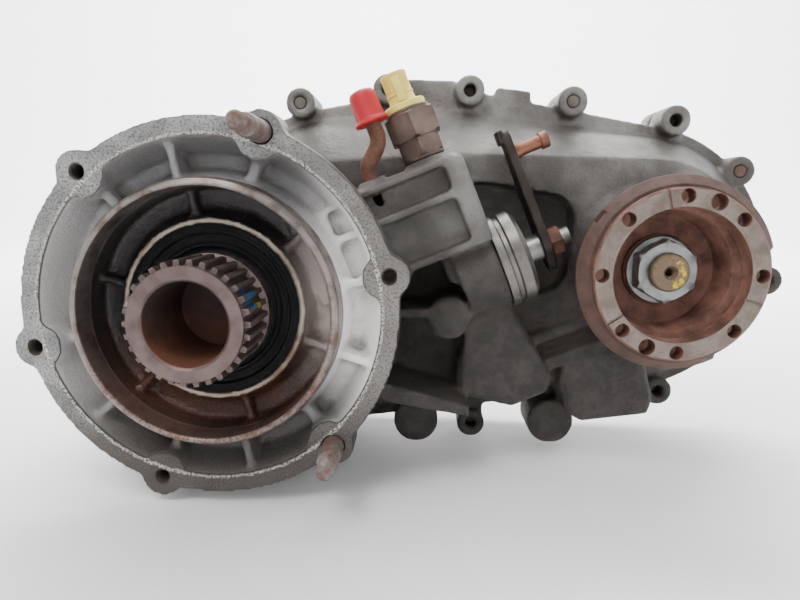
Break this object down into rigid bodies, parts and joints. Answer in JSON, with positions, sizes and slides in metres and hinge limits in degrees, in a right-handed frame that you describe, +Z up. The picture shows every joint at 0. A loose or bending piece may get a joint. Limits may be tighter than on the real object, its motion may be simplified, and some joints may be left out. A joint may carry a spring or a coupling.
{
  "type": "transfer case",
  "caption": "Chain-driven two-speed vehicle transfer case with a cast two-piece housing, studded input flange, front output flange, shift lever and switch.",
  "frame": {"origin": "centre of the input flange, on its front face", "axes": "-Y out of the input flange towards the gearbox, +X towards the front output, +Z up"},
  "size_m": [0.51, 0.332, 0.274],
  "materials": {
    "cast_aluminium": "sand cast, aged",
    "machined_aluminium": "machined",
    "bearing_steel": "ground",
    "gear_steel": "machined",
    "rusty_steel": "rusted",
    "zinc_steel": "dull zinc",
    "copper_steel": "copper plated",
    "seal_rubber": "matt",
    "red_plastic": "matt",
    "cream_plastic": "matt",
    "black_plastic": "matt"
  },
  "bodies": {
    "housing": {"annulus_gear": "gear_steel", "annulus_snap_ring": "bearing_steel", "case_bolts": "zinc_steel", "case_plugs": "zinc_steel", "chain": "gear_steel", "detent_plug": "zinc_steel", "detent_plunger": "bearing_steel", "detent_spring": "bearing_steel", "dowel_pins": "bearing_steel", "extension_housing": "cast_aluminium", "flange_studs": "rusty_steel", "front_bearing_outer": "bearing_steel", "front_case": "cast_aluminium", "front_needle_bearing": "bearing_steel", "front_output_seal": "seal_rubber", "indicator_switch": "rusty_steel", "input_bearing_outer": "bearing_steel", "input_seal": "seal_rubber", "oil_pump": "machined_aluminium", "pickup_filter": "black_plastic", "pickup_tube": "zinc_steel", "rear_bearing_outer": "bearing_steel", "rear_case": "cast_aluminium", "rear_seal": "seal_rubber", "sector_collar": "machined_aluminium", "shift_rail": "bearing_steel", "speed_sensor": "black_plastic", "switch_connector": "cream_plastic", "vent_cap": "red_plastic", "vent_tube": "zinc_steel"},
    "input": {"input_shaft": "gear_steel", "input_bearing_inner": "bearing_steel"},
    "carrier": {"planet_carrier": "gear_steel", "planet_pins": "bearing_steel"},
    "planet_1": {"planet_gear_1": "gear_steel"},
    "planet_2": {"planet_gear_2": "gear_steel"},
    "planet_3": {"planet_gear_3": "gear_steel"},
    "planet_4": {"planet_gear_4": "gear_steel"},
    "main": {"main_shaft": "gear_steel", "mode_hub": "gear_steel", "rear_bearing_inner": "bearing_steel", "speed_ring": "gear_steel", "rear_output_flange": "rusty_steel", "oil_pump_rotor": "bearing_steel", "rear_output_nut": "rusty_steel"},
    "range_collar": {"range_sleeve": "gear_steel"},
    "mode_collar": {"mode_sleeve": "gear_steel"},
    "sprocket": {"drive_sprocket": "gear_steel"},
    "front_output": {"front_output_shaft": "gear_steel", "driven_sprocket": "gear_steel", "front_bearing_inner": "bearing_steel", "companion_flange": "rusty_steel", "flange_washer": "bearing_steel", "flange_nut": "rusty_steel"},
    "sector": {"sector_shaft": "gear_steel", "shift_lever": "rusty_steel", "lever_nut": "rusty_steel", "lever_stud": "copper_steel"},
    "range_shifter": {"range_fork": "machined_aluminium"},
    "mode_shifter": {"mode_fork": "machined_aluminium"}
  },
  "joints": [
    {"name": "input_spin", "type": "hinge", "parent": "housing", "child": "input", "pos_m": [0, 0.05, 0], "axis": [0, 1, 0], "continuous": true},
    {"name": "carrier_spin", "type": "hinge", "parent": "housing", "child": "carrier", "pos_m": [0, 0.05, 0], "axis": [0, 1, 0], "continuous": true},
    {"name": "main_spin", "type": "hinge", "parent": "housing", "child": "main", "pos_m": [0, 0.05, 0], "axis": [0, 1, 0], "continuous": true},
    {"name": "drive_sprocket_spin", "type": "hinge", "parent": "housing", "child": "sprocket", "pos_m": [0, 0.05, 0], "axis": [0, 1, 0], "continuous": true},
    {"name": "front_output_spin", "type": "hinge", "parent": "housing", "child": "front_output", "pos_m": [0.28, 0.05, 0.021], "axis": [0, 1, 0], "continuous": true},
    {"name": "planet_1_spin", "type": "hinge", "parent": "carrier", "child": "planet_1", "pos_m": [0.0575, 0.05, 0], "axis": [0, 1, 0], "continuous": true},
    {"name": "planet_2_spin", "type": "hinge", "parent": "carrier", "child": "planet_2", "pos_m": [0, 0.05, 0.0575], "axis": [0, 1, 0], "continuous": true},
    {"name": "planet_3_spin", "type": "hinge", "parent": "carrier", "child": "planet_3", "pos_m": [-0.0575, 0.05, 0], "axis": [0, 1, 0], "continuous": true},
    {"name": "planet_4_spin", "type": "hinge", "parent": "carrier", "child": "planet_4", "pos_m": [0, 0.05, -0.0575], "axis": [0, 1, 0], "continuous": true},
    {"name": "shift_lever_turn", "type": "hinge", "parent": "housing", "child": "sector", "pos_m": [0.19227, 0.056, 0.03131], "axis": [0.9272, 0, 0.3746], "range_deg": [0, 52.08]},
    {"name": "range_fork_slide", "type": "slide", "parent": "housing", "child": "range_shifter", "axis": [0, 1, 0], "range_m": [-0.0181, 0]},
    {"name": "range_sleeve_slide", "type": "slide", "parent": "main", "child": "range_collar", "axis": [0, 1, 0], "range_m": [-0.0181, 0]},
    {"name": "mode_fork_slide", "type": "slide", "parent": "housing", "child": "mode_shifter", "axis": [0, 1, 0], "range_m": [0, 0.009]},
    {"name": "mode_sleeve_slide", "type": "slide", "parent": "main", "child": "mode_collar", "axis": [0, 1, 0], "range_m": [0, 0.009]}
  ],
  "couplings": [
    {"joint": "carrier_spin", "follows": "input_spin", "ratio": 0.36957},
    {"joint": "main_spin", "follows": "input_spin", "ratio": 0.36957},
    {"joint": "drive_sprocket_spin", "follows": "input_spin", "ratio": 0.36957},
    {"joint": "front_output_spin", "follows": "input_spin", "ratio": 0.36957},
    {"joint": "planet_1_spin", "follows": "input_spin", "ratio": -1.7862},
    {"joint": "planet_2_spin", "follows": "input_spin", "ratio": -1.7862},
    {"joint": "planet_3_spin", "follows": "input_spin", "ratio": -1.7862},
    {"joint": "planet_4_spin", "follows": "input_spin", "ratio": -1.7862},
    {"joint": "range_fork_slide", "follows": "shift_lever_turn", "m_per_rad": -0.019801},
    {"joint": "range_sleeve_slide", "follows": "shift_lever_turn", "m_per_rad": -0.019801},
    {"joint": "mode_sleeve_slide", "follows": "mode_fork_slide", "ratio": 1}
  ]
}
